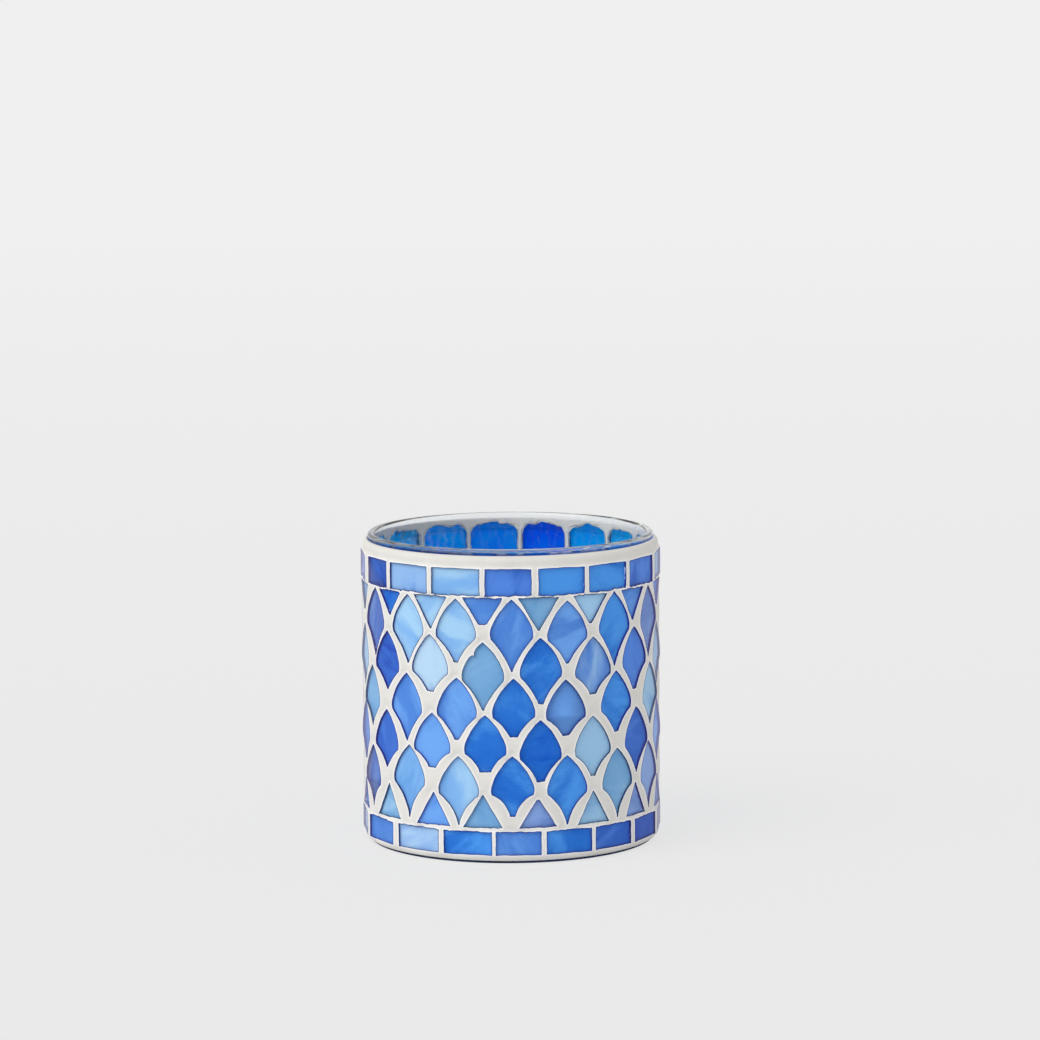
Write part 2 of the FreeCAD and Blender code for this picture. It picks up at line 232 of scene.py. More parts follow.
def hand_cut(place, tile):
    """How far a nipped edge strays from its line there, along the wall: a little everywhere, and
    more where the glass broke ragged."""
    ragged = raggedness(place, tile)
    splintered = 0.2 + 0.8 * max(0.0, noise.noise(place / splinter_spacing) - 0.05)
    stray = noise.noise_vector(place / wander_length) * wander
    stray += noise.noise_vector(place / nibble_length) * nibble
    stray += noise.noise_vector(place / splinter_length) * splinter * splintered * ragged
    stray += noise.noise_vector(place / ragged_wander_length) * ragged_wander * ragged
    if chipped_row in tile["node"]:
        bite = math.exp(-((place - chipped_at).length / chip_size) ** 2)
        stray += (tile["centre"] - place).normalized() * chip_size * bite
        stray += noise.noise_vector(place / chip_edge_length) * chip_edge * bite
    return stray - tile["normal"] * stray.dot(tile["normal"])


def outward_of(place):
    return Vector((place.x, place.y, 0)).normalized()


def cut_finely(bm, step):
    """Divides every edge into lengths no longer than a step."""
    for cuts in range(int(max(e.calc_length() for e in bm.edges) / step), 0, -1):
        longest = [e for e in bm.edges if int(e.calc_length() / step) == cuts]
        if longest:
            bmesh.ops.bisect_edges(bm, edges=longest, cuts=cuts)


tiles = []


def cut_outlines(node, step):
    """The faces of a CAD node's tiles, one polygon each, their edges divided into steps."""
    outlines = bmesh.new()
    outlines.from_mesh(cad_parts[node].data)
    bmesh.ops.remove_doubles(outlines, verts=outlines.verts, dist=1e-6)
    bmesh.ops.dissolve_limit(outlines, angle_limit=math.radians(0.1), verts=outlines.verts,
                             edges=outlines.edges)
    outlines.normal_update()
    rest = [f for f in outlines.faces
            if f.normal.dot(outward_of(f.calc_center_median())) < 0.99
            or f.normal.dot(f.verts[0].co) < tile_face_radius - 0.1 * mm]
    bmesh.ops.delete(outlines, geom=rest, context="FACES")
    cut_finely(outlines, step)
    return outlines


def tile_facts(face, node):
    """What the later sections need to know of one tile, before its edges are nipped."""
    normal = face.normal.copy()
    across = Vector((0, 0, 1)).cross(normal)
    centre = face.calc_center_bounds()
    points = [v.co.copy() for v in face.verts]
    tree = kdtree.KDTree(len(points))
    for index, point in enumerate(points):
        tree.insert(point, index)
    tree.balance()
    return {
        "node": node, "normal": normal, "across": across, "centre": centre, "points": points,
        "tree": tree, "tail": min(p.z for p in points),
        "tapers": "scale_row" in node or "upper_triangles" in node,
        "leans": "top_band" in node,
        "half_width": max(abs((p - centre).dot(across)) for p in points),
    }


def nip(outlines, facts):
    """Lets the edges of divided outlines stray as the nippers left them."""
    for face, tile in zip(outlines.faces, facts):
        for vert in face.verts:
            vert.co += hand_cut(vert.co, tile)
    return outlines


# The upper edge of a top band tile was nipped at a slant, so behind the border its back reaches
# further up than its face, in the loaf shape that shows through the glass.
lean_height = 2.4 * mm
lean_from = 3.0 * mm            # below the top of the band, where the slant starts at its ends
scallop_length = 2.4 * mm
scallop_shift = 0.1             # of a metre, to a part of the noise that no other edge reads


def lean(place, tile):
    """How much further up a tile's back reaches than its face at a point of its outline."""
    if not tile["leans"]:
        return 0.0
    beside = (place - tile["centre"]).dot(tile["across"]) / tile["half_width"]
    height = (place.z - top_band_top) / lean_from + 1
    scallop = 0.9 + 0.5 * noise.noise((place - tile["across"] * scallop_shift) / scallop_length)
    return lean_height * scallop * max(0.0, 1 - abs(beside) ** 5) * min(max(height, 0.0), 1.0)


def slabs(outlines, facts, top, bottom):
    """Closed slabs of the outlines, between two depths under the tiles' face."""
    made = outlines.copy()
    for face, tile in zip(made.faces, facts):
        for vert in face.verts:
            vert.co -= tile["normal"] * top
    for face, tile in zip(made.faces[:], facts):
        grown = bmesh.ops.extrude_face_region(made, geom=[face], use_keep_orig=True)
        for vert in grown["geom"]:
            if isinstance(vert, bmesh.types.BMVert):
                vert.co -= tile["normal"] * (bottom - top)
                if bottom == tile_thickness:
                    vert.co.z += lean(vert.co, tile)
    made.normal_update()
    bmesh.ops.recalc_face_normals(made, faces=made.faces)
    return made


def join(whole, part):
    """Adds one bmesh to another, and frees it."""
    joined = mesh_of(part, "part")
    whole.from_mesh(joined)
    bpy.data.meshes.remove(joined)


def faces_front(face):
    """Whether a face is a tile's front, or a leaning top edge, which shows the sheet's colour too."""
    return face.normal.dot(outward_of(face.calc_center_median())) > 0.6


def faces_back(face):
    return face.normal.dot(outward_of(face.calc_center_median())) < -0.9


# Streaky cathedral glass, hand-rolled: tones of one colour swirled together in long wisps. Light
# that falls on it comes back in the sheet's own colour. Seen from the well it is deeper and purer:
# partly lit through from outside, partly a painted glow in the light-through colours, and it lets light
# of that colour into the well.
sheet_shades = {        # deep, middle and pale part of the sheet, light through both (also worn by the back as a painted glow), painted dark shade of the cut side
    "cobalt": ("2050C2", "3872D6", "5A94EE", "0040F8", "0064FF", "10188C"),
    "azure": ("0C64D4", "287CE0", "52A6F8", "0A7CFF", "00A0FF", "0C2498"),
    "cornflower": ("3A7CD0", "5692E6", "78B4FA", "0080FC", "34A4FF", "162E9C"),
    "sky": ("64A4E6", "88C0F6", "B0DCFC", "14A0FF", "10BCFF", "1A3A7C"),
    "ice": ("6098E8", "9CC6F4", "C4E4FC", "1C98FF", "54C0FF", "204484"),
    "teal": ("60A4DA", "82B8E6", "A8D4F4", "0084EC", "28A0F4", "1A4878"),
    "violet": ("5074C8", "6E92D6", "94B6EE", "1840D8", "3458F4", "241C84"),
}
sheets = {}
for sheet, (deep, middle, pale, through, through_pale, cut_side_shade) in sheet_shades.items():
    streaky, tree = new_material("streaky_rolled_glass_" + sheet)
    place = add_node(tree, "ShaderNodeUVMap", {"uv_map": "sheet"})
    tone = add_node(tree, "ShaderNodeAttribute", {"attribute_name": "tone"})
    drawn_out = add_node(tree, "ShaderNodeMapping", {"Scale": (0.4, 1.0, 1.0)},
                         {"Vector": place.outputs["UV"]})
    wisps = add_node(
        tree, "ShaderNodeTexNoise",
        {"Scale": 1 / streak_spacing, "Detail": 2.0, "Roughness": 0.45, "Distortion": 0.7},
        {"Vector": drawn_out.outputs["Vector"]})
    threads = add_node(
        tree, "ShaderNodeTexNoise",
        {"Scale": 1 / thread_spacing, "Detail": 2.0, "Roughness": 0.6, "Distortion": 0.4},
        {"Vector": drawn_out.outputs["Vector"]})
    swirl = add_node(tree, "ShaderNodeMath", {"operation": "MULTIPLY_ADD", 1: 1.6, 2: -0.84},
                     {0: wisps.outputs["Fac"]})
    fine = add_node(tree, "ShaderNodeMath", {"operation": "MULTIPLY_ADD", 1: 0.4},
                    {0: threads.outputs["Fac"], 2: swirl.outputs[0]})
    depth = add_node(tree, "ShaderNodeMath", {"operation": "ADD"},
                     {0: fine.outputs[0], 1: tone.outputs["Fac"]})
    shades = add_node(tree, "ShaderNodeValToRGB", None, {"Fac": depth.outputs[0]})
    ramp = shades.color_ramp
    ramp.interpolation = "EASE"
    ramp.elements[0].position, ramp.elements[0].color = 0.0, linear(deep)
    ramp.elements[1].position, ramp.elements[1].color = 1.0, linear(pale)
    ramp.elements.new(0.5).color = linear(middle)
    sent_back = add_node(tree, "ShaderNodeBsdfDiffuse", {"Roughness": 0.3},
                         {"Color": shades.outputs["Color"]})
    shone = add_node(tree, "ShaderNodeValToRGB", None, {"Fac": depth.outputs[0]})
    ramp = shone.color_ramp
    ramp.elements[0].position, ramp.elements[0].color = 0.3, linear(through)
    ramp.elements[1].position, ramp.elements[1].color = 0.9, linear(through_pale)
    shining = add_node(tree, "ShaderNodeBsdfTranslucent", None, {"Color": shone.outputs["Color"]})
    # A painted glow: seen from the well, the back is also a diffuse colour in the light-through colours,
    # standing in for light that shines through.
    painted_backlight_glow = add_node(tree, "ShaderNodeBsdfDiffuse", None, {"Color": shone.outputs["Color"]})
    from_well = add_node(tree, "ShaderNodeMixShader", {0: 0.4},
                         {1: shining.outputs[0], 2: painted_backlight_glow.outputs[0]})
    side = add_node(tree, "ShaderNodeNewGeometry")
    seen = add_node(tree, "ShaderNodeMixShader", None,
                    {0: side.outputs["Backfacing"], 1: sent_back.outputs[0], 2: from_well.outputs[0]})
    light_path = add_node(tree, "ShaderNodeLightPath")
    let_by = add_node(tree, "ShaderNodeMath", {"operation": "MULTIPLY", 1: 0.85},
                      {0: light_path.outputs["Is Shadow Ray"]})
    coloured_light = add_node(tree, "ShaderNodeBsdfTransparent", None, {"Color": shone.outputs["Color"]})
    surface = add_node(tree, "ShaderNodeMixShader", None,
                       {0: let_by.outputs[0], 1: seen.outputs[0], 2: coloured_light.outputs[0]})
    add_node(tree, "ShaderNodeOutputMaterial", None, {"Surface": surface.outputs[0]})

    # The nipped side of the same glass: a shell-broken edge, painted dark navy as shade, with painted
    # glints of the deeper colour on its shells.
    nipped, tree = new_material("nipped_glass_side_painted_dark_" + sheet)
    coords = add_node(tree, "ShaderNodeTexCoord")
    shells = add_node(tree, "ShaderNodeTexNoise", {"Scale": 1 / shell_width, "Detail": 2.0},
                      {"Vector": coords.outputs["Object"]})
    painted_glint_mask = add_node(tree, "ShaderNodeMapRange",
                     {"From Min": 0.5, "From Max": 0.8, "To Min": 0.0, "To Max": 0.4},
                     {"Value": shells.outputs["Fac"]})
    painted_glints = add_node(tree, "ShaderNodeMix", {"data_type": "RGBA", 6: linear(cut_side_shade), 7: linear(deep)},
                      {0: painted_glint_mask.outputs["Result"]})
    broken = add_node(tree, "ShaderNodeBump", {"Strength": 0.6, "Distance": 0.1 * mm},
                      {"Height": shells.outputs["Fac"]})
    surface = add_node(tree, "ShaderNodeBsdfPrincipled",
                       {"Roughness": 0.45, "IOR": 1.52, "Specular IOR Level": 0.2},
                       {"Base Color": painted_glints.outputs[2], "Normal": broken.outputs["Normal"]})
    add_node(tree, "ShaderNodeOutputMaterial", None, {"Surface": surface.outputs[0]})
    sheets[sheet] = (streaky, nipped)

# The clear skin of the sheet, as it left the roller: bright, with a faint ripple that breaks the
# reflection of the room.
rolled_face, tree = new_material("rolled_clear_glass_face")
coords = add_node(tree, "ShaderNodeTexCoord")
ripple = add_node(tree, "ShaderNodeTexNoise", {"Scale": 1 / ripple_length, "Detail": 1.5},
                  {"Vector": coords.outputs["Object"]})
bump = add_node(tree, "ShaderNodeBump", {"Strength": 0.25, "Distance": 0.1 * mm},
                {"Height": ripple.outputs["Fac"]})
facing = add_node(tree, "ShaderNodeFresnel", {"IOR": 1.32}, {"Normal": bump.outputs["Normal"]})
side = add_node(tree, "ShaderNodeNewGeometry")
from_outside = add_node(tree, "ShaderNodeMath", {"operation": "SUBTRACT", 0: 1.0},
                        {1: side.outputs["Backfacing"]})
mirrored = add_node(tree, "ShaderNodeMath", {"operation": "MULTIPLY"},
                    {0: facing.outputs[0], 1: from_outside.outputs[0]})
see_through = add_node(tree, "ShaderNodeBsdfTransparent")
gleam = add_node(tree, "ShaderNodeBsdfGlossy", {"Color": linear("CFCEE2"), "Roughness": 0.12},
                 {"Normal": bump.outputs["Normal"]})
surface = add_node(tree, "ShaderNodeMixShader", None,
                   {0: mirrored.outputs[0], 1: see_through.outputs[0], 2: gleam.outputs[0]})
add_node(tree, "ShaderNodeOutputMaterial", None, {"Surface": surface.outputs[0]})

# How pale a piece of its sheet each tile of the front was nipped from, from 2 steps deeper than
# the middle tone to 2 steps paler, left to right. Round the back the tones fall as they may.
front_tones = {
    "top_band": (-1, -1, 0, 1, 2, 2, 1),
    "upper_triangles": (-2, 1, 0, -1, 2, 0),
    "scale_row_1": (-2, 1, 1, -1, 1, 1, 0),
    "scale_row_2": (-1, 2, -1, 0, -2, 2),
    "scale_row_3": (-2, 0, 1, -1, 2, 1, 1),
    "scale_row_4": (-1, 2, 0, -2, 2, -1),
    "scale_row_5": (-2, -2, 0, 0, 1, -1, 2),
    "lower_triangles": (0, 2, -1, 0, 2, 1),
    "bottom_band": (-2, 0, 0, 0, 0, 0, -2),
}
middle_tone = 0.5
tone_step = 0.2
courses = {"top_band": 17, "bottom_band": 17, "upper_triangles": 16, "lower_triangles": 16}
courses.update({f"scale_row_{row}": 16 for row in range(1, 6)})


def tone_of(tile, course):
    """The tone of a tile, from its place round the cup."""
    tones = front_tones[course]
    turn = math.atan2(tile["centre"].x, -tile["centre"].y) / math.tau
    index = round(turn * courses[course] + (len(tones) - 1) / 2)
    level = tones[index] if 0 <= index < len(tones) else chance.randint(-2, 2)
    return middle_tone + tone_step * level


chance = random.Random(11)
sheet_reach = 9                 # metres of pattern from which a tile's piece is taken, either way
tile_nodes = sorted(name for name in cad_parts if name.startswith("tiles_"))
for node in tile_nodes:
    course, sheet = node[len("tiles_"):].rsplit("_", 1)
    outlines = cut_outlines(node, outline_step)
    facts = [tile_facts(face, node) for face in outlines.faces]
    nip(outlines, facts)
    streaks = [
        (tone_of(tile, course), chance.uniform(0, math.pi),
         Vector((chance.uniform(-sheet_reach, sheet_reach), chance.uniform(-sheet_reach, sheet_reach))))
        for tile in facts
    ]
    body = slabs(outlines, facts, clear_depth, tile_thickness)
    for face in body.faces:
        face.material_index = 0 if faces_front(face) else 1 if faces_back(face) else 2
    cap = slabs(outlines, facts, 0, clear_depth - layer_gap)
    painted_dark_rims = {e for f in cap.faces if faces_front(f) for e in f.edges}
    for face in cap.faces:
        face.material_index = 1 if faces_front(face) or faces_back(face) else 2
    # The rounded rims of the clear face take the nipped side's material: a painted dark line round each
    # tile.
    bmesh.ops.bevel(cap, geom=list(painted_dark_rims), affect="EDGES", offset=edge_bevel, segments=2,
                    profile=0.5, material=2)
    join(body, cap)

    sheet_place = body.loops.layers.uv.new("sheet")
    tone_layer = body.faces.layers.float.new("tone")
    for face in body.faces:
        middle = face.calc_center_bounds()
        nearest = min(range(len(facts)), key=lambda i: (facts[i]["centre"] - middle).length_squared)
        tile = facts[nearest]
        tone, turn, shift = streaks[nearest]
        face[tone_layer] = tone
        for loop in face.loops:
            offset = loop.vert.co - tile["centre"]
            flat = Vector((offset.dot(tile["across"]), offset.z))
            flat.rotate(Matrix.Rotation(turn, 2))
            loop[sheet_place].uv = flat + shift
    outlines.free()
    name = node.replace("tiles_", "glass_")
    place_piece(name, mesh_of(body, name), [sheets[sheet][0], rolled_face, sheets[sheet][1]],
                "stained_glass_" + sheet, node)
    tiles += facts

# ---------------------------------------------------------------- clear adhesive
# A dab of water-clear adhesive behind each tile. It spreads short of the tile's edge, with a
# scalloped rim, and the grout creeps in round it.
dab_margin = 0.5 * mm
band_dab_margin = 0.1 * mm      # the band tiles were pressed on with more
rounding_passes = 12
band_rounding_passes = 3
back_step = 0.6 * mm            # behind the tiles the outlines need no more
bubble_spacing = 1.6 * mm
bite_depth, bite_length = 0.25 * mm, 1.6 * mm       # the scallops of the rim
nick_depth, nick_length = 0.125 * mm, 0.7 * mm      # and smaller ones on them
glue_back = glass_outer_radius + 0.01 * mm
strip_turn = 3                  # degrees of the wall to each flat strip of a dab's back


def back_outlines(node):
    """The outlines of a node's tiles at their back."""
    outlines = cut_outlines(node, back_step)
    facts = [tile_facts(face, node) for face in outlines.faces]
    nip(outlines, facts)
    for face, tile in zip(outlines.faces, facts):
        for vert in face.verts:
            vert.co -= tile["normal"] * tile_thickness
            vert.co.z += lean(vert.co, tile)
    return outlines, facts


def dab_outlines(outlines, facts):
    """The outline of the dab behind each tile: smaller, rounded and scalloped."""
    dabs = outlines.copy()
    for face, tile in zip(dabs.faces, facts):
        margin = band_dab_margin if tile["leans"] else dab_margin
        centre, across = face.calc_center_bounds(), tile["across"]
        half_height = max(abs(v.co.z - centre.z) for v in face.verts)
        for vert in face.verts:
            vert.co -= across * (vert.co - centre).dot(across) * margin / tile["half_width"]
            vert.co.z -= (vert.co.z - centre.z) * margin / half_height
    for _ in range(band_rounding_passes if facts[0]["leans"] else rounding_passes):
        bmesh.ops.smooth_vert(dabs, verts=dabs.verts, factor=0.5, use_axis_x=True, use_axis_y=True,
                              use_axis_z=True)
    for face, tile in zip(dabs.faces, facts):
        for vert in face.verts:
            bite = noise.noise_vector(vert.co / bite_length) * bite_depth
            bite += noise.noise_vector(vert.co / nick_length) * nick_depth
            vert.co += bite - tile["normal"] * bite.dot(tile["normal"])
    return dabs


def grow_to_wall(skin):
    """Closes a skin of faces into a solid that reaches back to the glass."""
    grown = bmesh.ops.extrude_face_region(skin, geom=skin.faces[:], use_keep_orig=True)
    for vert in grown["geom"]:
        if isinstance(vert, bmesh.types.BMVert):
            vert.co += outward_of(vert.co) * (glue_back - Vector((vert.co.x, vert.co.y)).length)
    skin.normal_update()
    bmesh.ops.recalc_face_normals(skin, faces=skin.faces)


# Set UV adhesive: nearly clear, with a faint milkiness and a few small bubbles.
set_adhesive, tree = new_material("clear_uv_adhesive")
coords = add_node(tree, "ShaderNodeTexCoord")
bubbles = add_node(tree, "ShaderNodeTexVoronoi", {"Scale": 1 / bubble_spacing, "Randomness": 1.0},
                   {"Vector": coords.outputs["Object"]})
milk = add_node(tree, "ShaderNodeMapRange",
                {"From Min": 0.04, "From Max": 0.16, "To Min": 0.5, "To Max": 0.0},
                {"Value": bubbles.outputs["Distance"]})
see_through = add_node(tree, "ShaderNodeBsdfTransparent", {"Color": linear("FAFCFE")})
cloudy = add_node(tree, "ShaderNodeBsdfTranslucent", {"Color": linear("DCE8F2")})
surface = add_node(tree, "ShaderNodeMixShader", None,
                   {0: milk.outputs["Result"], 1: see_through.outputs[0], 2: cloudy.outputs[0]})
add_node(tree, "ShaderNodeOutputMaterial", None, {"Surface": surface.outputs[0]})

for course in courses:
    glue = bmesh.new()
    for node in tile_nodes:
        if node.startswith("tiles_" + course):
            outlines, facts = back_outlines(node)
            join(glue, dab_outlines(outlines, facts))
            outlines.free()
    for turn in range(0, 180, strip_turn):
        across = Matrix.Rotation(math.radians(turn), 3, "Z").col[0]
        bmesh.ops.bisect_plane(glue, geom=glue.verts[:] + glue.edges[:] + glue.faces[:], dist=1e-6,
                               plane_co=(0, 0, 0), plane_no=across)
    grow_to_wall(glue)
    name = "glue_" + course
    place_piece(name, mesh_of(glue, name), [set_adhesive], "clear_adhesive", "adhesive_" + course)

# ---------------------------------------------------------------- grout
# White cement grout, pressed into every joint and wiped with a sponge: flush with the tiles'
# edges, a little hollow between them, and rounded off against the glass above and below.
grout_level = 42.94 * mm
joint_hollow = 0.16 * mm
flush_width = 0.1 * mm          # beside a tile, before the joint starts to hollow
hollow_reach = 0.9 * mm
grout_step = 1.0 * mm           # longest edges of the mesh: in the joints,
rim_step = 0.36 * mm            # on the rims of the pockets,
bore_step = 0.6 * mm            # and on the bore behind the upper border
rim_angle = 0.9                 # radians between the faces of a rim
flat_angle = math.radians(4)
halvings = 8                    # passes that take the CAD's longest edge down to a step
bore_reach = glass_outer_radius + 0.1 * mm
outside_from = 42.3 * mm        # a point further out than this is on the outside of the net
border_bottom = 2.7 * mm
border_fade = 1.2 * mm
closest_tiles = 7               # so many can touch one joint
stray_reach = 0.8 * mm          # how far from a tile the grout still follows its nipped edge
seat_gap = 0.07 * mm            # keeps the walls of the pockets off the cut sides of the tiles
ragged_seat_gap = 0.09 * mm     # and this much more where the glass broke ragged
# width of the painted highlight along each tile's edge
painted_highlight_width = 0.4 * mm
recess_radius = 42.8 * mm       # of the grout over the leaning backs of the top band, at their face
recess_slope = 0.25
recess_inset = 0.3 * mm
creep_overlap = 0.02 * mm       # of the grout behind the tiles and their backs
turn_width = 0.2 * mm           # over which the outside turns from one tile's plane to the next
hair = 0.01 * mm                # allowance for rounding in the CAD's mesh
mottling_width = 5 * mm
grain_width = 0.35 * mm         # the sand is finer, and drawn this coarse so that it shows
pinhole_spacing = 1.5 * mm

grout = bmesh.new()
grout.from_mesh(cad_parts["grout"].data)
bmesh.ops.remove_doubles(grout, verts=grout.verts, dist=1e-6)


def longest(edge):
    """How long an edge may stay: short on the tiles' rims and on the bore behind the border."""
    distances = [math.hypot(v.co.x, v.co.y) for v in edge.verts]
    if max(distances) < bore_reach and min(v.co.z for v in edge.verts) > top_band_top - 10 * hair:
        return bore_step
    if min(distances) < outside_from:
        return math.inf
    return rim_step if edge.calc_face_angle(0) > rim_angle else grout_step


for _ in range(halvings):
    long_edges = [e for e in grout.edges if e.calc_length() > longest(e)]
    bmesh.ops.subdivide_edges(grout, edges=long_edges, cuts=1, use_grid_fill=False)
    bmesh.ops.triangulate(grout, faces=[f for f in grout.faces if len(f.verts) > 3])
    flat_edges = [e for e in grout.edges if e.is_manifold and longest(e) < math.inf
                  and e.calc_face_angle(math.pi) < flat_angle]
    bmesh.ops.beautify_fill(grout, faces=grout.faces[:], method="ANGLE", edges=flat_edges)

tile_centres = kdtree.KDTree(len(tiles))
for index, tile in enumerate(tiles):
    tile_centres.insert(tile["centre"], index)
tile_centres.balance()


def ease(share):
    """A smooth step from 0 to 1."""
    share = min(max(share, 0.0), 1.0)
    return share * share * (3 - 2 * share)


def onto_face(place, tile):
    """A point moved straight in or out to the plane of a tile's face."""
    return place + tile["normal"] * (tile_face_radius - place.dot(tile["normal"]))


def rim_gap(place, tile):
    """The distance from a point of the face's plane to the tile's outline."""
    points = tile["points"]
    _, index, gap = tile["tree"].find(place)
    for other in (points[index - 1], points[(index + 1) % len(points)]):
        foot, share = intersect_point_line(place, points[index], other)
        if 0 < share < 1:
            gap = min(gap, (place - foot).length)
    return gap


# Every point of the net follows the nipped edges of the tiles near it. On the outside it sinks to
# the hollow of its joint, and on the bore it gives way to the leaning backs of the top band.
painted_highlight = grout.verts.layers.float.new("painted_highlight")
thin_skin = grout.verts.layers.float.new("thin_skin")
for vert in grout.verts:
    place = vert.co.copy()
    beside = [tiles[index] for _, index, _ in tile_centres.find_n(place, closest_tiles)]
    gaps = [rim_gap(onto_face(place, tile), tile) for tile in beside]
    closest = min(gaps)
    nearest = beside[gaps.index(closest)]
    vert.co += hand_cut(onto_face(place, nearest), nearest) * math.exp(-(closest / stray_reach) ** 2)
    # A painted highlight: the grout is whiter near each tile's edge.
    vert[painted_highlight] = math.exp(-(closest / painted_highlight_width) ** 2)
    if closest < 2 * hair:
        inward = nearest["centre"] - place
        inward -= nearest["normal"] * inward.dot(nearest["normal"])
        clear_of = seat_gap + ragged_seat_gap * min(raggedness(place, nearest), 1.0)
        vert.co -= inward.normalized() * clear_of
    distance = math.hypot(place.x, place.y)
    if distance > outside_from:
        level = grout_level - joint_hollow * ease((closest - flush_width) / hollow_reach)
        total, move = 0.0, Vector()
        for gap, tile in zip(gaps, beside):
            weight = 1 / (gap + turn_width) ** 3
            move += tile["normal"] * (level - vert.co.dot(tile["normal"])) * weight
            total += weight
        past_bands = max(place.z - top_band_top, border_bottom - place.z)
        vert.co += move / total * (1 - ease(past_bands / border_fade))
        if place.z > top_band_top - hair:
            vert[thin_skin] = 1.0
    elif nearest["leans"] and place.z > top_band_top - hair:
        across = (place - nearest["centre"]).dot(nearest["across"])
        top = onto_face(nearest["centre"], nearest) + nearest["across"] * across
        top.z = top_band_top
        if (abs(across) < nearest["half_width"] - recess_inset
                and place.z < top_band_top + lean(top, nearest) - recess_inset):
            behind = recess_radius - recess_slope * (place.z - top_band_top)
            vert.co += outward_of(place) * (behind - distance)
            # The bore over the leaning backs is painted wholly white: a painted highlight on grout that
            # lies in shade.
            vert[painted_highlight] = 1.0
            vert[thin_skin] = 1.0

# The grout that crept in behind the tiles, as far as the dabs.
crept = bmesh.new()
for node in tile_nodes:
    outlines, facts = back_outlines(node)
    rings = outlines.copy()
    dabs = dab_outlines(outlines, facts)
    middles = rings.faces[:]
    for middle, dab in zip(middles, dabs.faces):
        bmesh.ops.inset_individual(rings, faces=[middle], thickness=0.0)
        for vert, dab_vert in zip(middle.verts, dab.verts):
            vert.co = dab_vert.co
    bmesh.ops.delete(rings, geom=middles, context="FACES_ONLY")
    for vert in rings.verts:
        vert.co -= outward_of(vert.co) * creep_overlap
    grow_to_wall(rings)
    join(crept, rings)
    outlines.free()
    dabs.free()

grout_meshes = []
for name, shape in (("grout_net", grout), ("grout_behind_tiles", crept)):
    for face in shape.faces:
        face.smooth = True
    grout_mesh = mesh_of(shape, name)
    grout_mesh.set_sharp_from_angle(angle=math.radians(38))
    grout_meshes.append(grout_mesh)

# White cement grout, sponged: matt and chalky, with fine sand grain, pinholes from air in the
# mix, a slow mottling where it dried unevenly, and a painted highlight: whiter along each tile's edge,
# and wholly white on the bore over the leaning backs, which lies in shade.
# Where it is only a skin, over the leaning backs of the top band, light comes through to them.
cement, tree = new_material("sponged_white_cement_grout")
coords = add_node(tree, "ShaderNodeTexCoord")
mottling = add_node(tree, "ShaderNodeTexNoise", {"Scale": 1 / mottling_width, "Detail": 3.0},
                    {"Vector": coords.outputs["Object"]})
grain = add_node(tree, "ShaderNodeTexNoise", {"Scale": 1 / grain_width, "Detail": 3.0},
                 {"Vector": coords.outputs["Object"]})
pinholes = add_node(tree, "ShaderNodeTexVoronoi", {"Scale": 1 / pinhole_spacing, "Randomness": 1.0},
                    {"Vector": coords.outputs["Object"]})
pit = add_node(tree, "ShaderNodeMapRange",
               {"From Min": 0.03, "From Max": 0.12, "To Min": 0.0, "To Max": 1.0},
               {"Value": pinholes.outputs["Distance"]})
dried = add_node(tree, "ShaderNodeMix",
                 {"data_type": "RGBA", 6: linear("DDDAD3"), 7: linear("E8E6E1")},
                 {0: mottling.outputs["Fac"]})
painted_highlight_share = add_node(tree, "ShaderNodeAttribute", {"attribute_name": "painted_highlight"})
with_painted_highlight = add_node(tree, "ShaderNodeMix", {"data_type": "RGBA", 7: linear("FAFAFA")},
                 {0: painted_highlight_share.outputs["Fac"], 6: dried.outputs[2]})
height = add_node(tree, "ShaderNodeMath", {"operation": "MULTIPLY_ADD", 1: 0.4},
                  {0: grain.outputs["Fac"], 2: pit.outputs["Result"]})
bump = add_node(tree, "ShaderNodeBump", {"Strength": 0.35, "Distance": 0.12 * mm},
                {"Height": height.outputs[0]})
matt = add_node(tree, "ShaderNodeBsdfPrincipled", {"Roughness": 0.88, "IOR": 1.5},
                {"Base Color": with_painted_highlight.outputs[2], "Normal": bump.outputs["Normal"]})
thin = add_node(tree, "ShaderNodeAttribute", {"attribute_name": "thin_skin"})
light_path = add_node(tree, "ShaderNodeLightPath")
scattered = add_node(tree, "ShaderNodeMath", {"operation": "MULTIPLY"},
                     {0: light_path.outputs["Is Diffuse Ray"],
                      1: light_path.outputs["Is Transmission Ray"]})
lighting = add_node(tree, "ShaderNodeMath", {"operation": "MAXIMUM"},
                    {0: light_path.outputs["Is Shadow Ray"], 1: scattered.outputs[0]})
let_by = add_node(tree, "ShaderNodeMath", {"operation": "MULTIPLY"},
                  {0: lighting.outputs[0], 1: thin.outputs["Fac"]})
soft_light = add_node(tree, "ShaderNodeBsdfTransparent", {"Color": linear("F0F0F0")})
surface = add_node(tree, "ShaderNodeMixShader", None,
                   {0: let_by.outputs[0], 1: matt.outputs[0], 2: soft_light.outputs[0]})
add_node(tree, "ShaderNodeOutputMaterial", None, {"Surface": surface.outputs[0]})
for grout_mesh in grout_meshes:
    place_piece(grout_mesh.name, grout_mesh, [cement], "cement_grout", "grout")

# ---------------------------------------------------------------- floor, light and camera
# A plain pale table top that runs far back, one broad soft lamp high on the left, and the even
# light of a white room.
floor = bmesh.new()
bmesh.ops.create_circle(floor, cap_ends=True, segments=96, radius=30.0)
floor_mesh = mesh_of(floor, "table_top")
table_top = bpy.data.objects.new("table_top", floor_mesh)
bpy.context.scene.collection.objects.link(table_top)

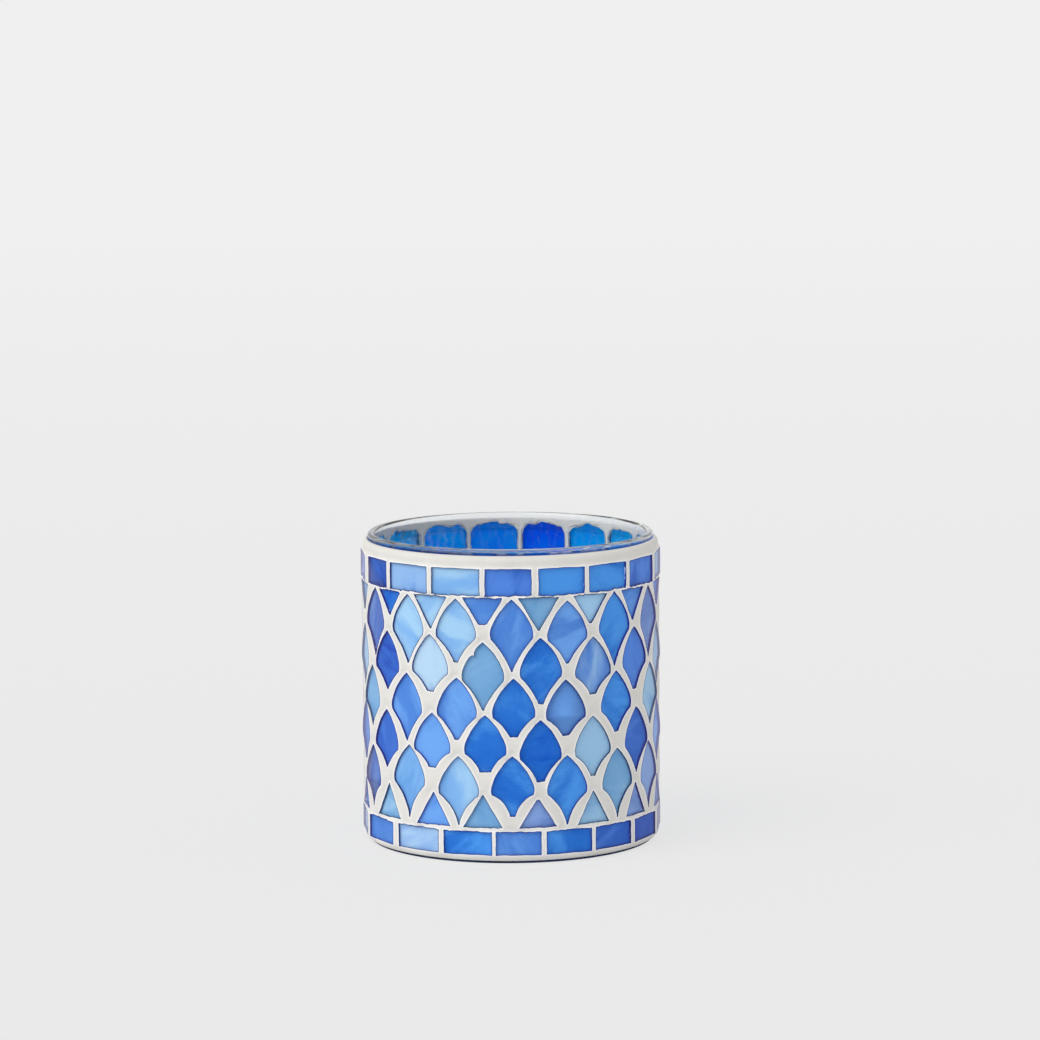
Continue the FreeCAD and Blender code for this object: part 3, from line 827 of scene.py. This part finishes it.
# Matt white laminate. The eye sees most of it at one even pale grey, paler towards the back, and
# the rest as it is lit, which leaves a faint shadow beside the holder.
pale_top, tree = new_material("matt_white_laminate")
coords = add_node(tree, "ShaderNodeTexCoord")
apart = add_node(tree, "ShaderNodeSeparateXYZ", None, {0: coords.outputs["Object"]})
far_back = add_node(tree, "ShaderNodeMapRange",
                    {"From Min": 0.0, "From Max": 2.5, "To Min": 0.0, "To Max": 1.0},
                    {"Value": apart.outputs["Y"]})
even_grey = add_node(tree, "ShaderNodeMix",
                     {"data_type": "RGBA", 6: linear("E9E9E9"), 7: linear("F0F0F0")},
                     {0: far_back.outputs["Result"]})
evenly_seen = add_node(tree, "ShaderNodeEmission", {"Strength": 1.0}, {"Color": even_grey.outputs[2]})
as_lit = add_node(tree, "ShaderNodeBsdfDiffuse", {"Color": linear("F6F6F6")})
light_path = add_node(tree, "ShaderNodeLightPath")
seen = add_node(tree, "ShaderNodeMath", {"operation": "MAXIMUM"},
                {0: light_path.outputs["Is Camera Ray"], 1: light_path.outputs["Is Glossy Ray"]})
seen_clear = add_node(tree, "ShaderNodeMath", {"operation": "MAXIMUM"},
                      {0: seen.outputs[0], 1: light_path.outputs["Is Transmission Ray"]})
share_even = add_node(tree, "ShaderNodeMath", {"operation": "MULTIPLY", 1: 0.85},
                      {0: seen_clear.outputs[0]})
surface = add_node(tree, "ShaderNodeMixShader", None,
                   {0: share_even.outputs[0], 1: as_lit.outputs[0], 2: evenly_seen.outputs[0]})
add_node(tree, "ShaderNodeOutputMaterial", None, {"Surface": surface.outputs[0]})
floor_mesh.materials.append(pale_top)

world = bpy.data.worlds.new("white_room")
world.use_nodes = True
tree = world.node_tree
tree.nodes.clear()
light_path = add_node(tree, "ShaderNodeLightPath")
seen = add_node(tree, "ShaderNodeMath", {"operation": "MAXIMUM"},
                {0: light_path.outputs["Is Camera Ray"], 1: light_path.outputs["Is Glossy Ray"]})
seen_clear = add_node(tree, "ShaderNodeMath", {"operation": "MAXIMUM"},
                      {0: seen.outputs[0], 1: light_path.outputs["Is Transmission Ray"]})
room_light = add_node(tree, "ShaderNodeBackground", {"Color": linear("FFFFFF"), "Strength": 0.63})
room_wall = add_node(tree, "ShaderNodeBackground", {"Color": linear("EEEEEE"), "Strength": 1.0})
surface = add_node(tree, "ShaderNodeMixShader", None,
                   {0: seen_clear.outputs[0], 1: room_light.outputs[0], 2: room_wall.outputs[0]})
add_node(tree, "ShaderNodeOutputWorld", None, {"Surface": surface.outputs[0]})
bpy.context.scene.world = world

lamp_data = bpy.data.lights.new("soft_lamp", "SUN")
lamp_data.energy = 1.32
lamp_data.angle = math.radians(50)
lamp = bpy.data.objects.new("soft_lamp", lamp_data)
lamp_from = Vector((-0.78, -0.62, 1.0))
lamp.rotation_euler = lamp_from.to_track_quat("Z", "Y").to_euler()
bpy.context.scene.collection.objects.link(lamp)

picture_width = 1040            # pixels
focal_length = 4530             # pixels
view_distance = 1315 * mm
view_drop = math.radians(7.6)
view_roll = math.radians(-0.38)
looked_at = Vector((2.88 * mm, 0, 92.9 * mm))
camera_data = bpy.data.cameras.new("camera")
camera_data.sensor_width = 36.0
camera_data.lens = camera_data.sensor_width * focal_length / picture_width
camera_data.clip_start = 0.05
camera_data.clip_end = 100.0
camera = bpy.data.objects.new("camera", camera_data)
line_of_sight = Vector((0, math.cos(view_drop), -math.sin(view_drop)))
camera.location = looked_at - line_of_sight * view_distance
camera.rotation_euler = (
    line_of_sight.to_track_quat("-Z", "Y").to_matrix() @ Matrix.Rotation(view_roll, 3, "Z")).to_euler()
bpy.context.scene.collection.objects.link(camera)
bpy.context.scene.camera = camera
bpy.context.scene.view_settings.view_transform = "Standard"
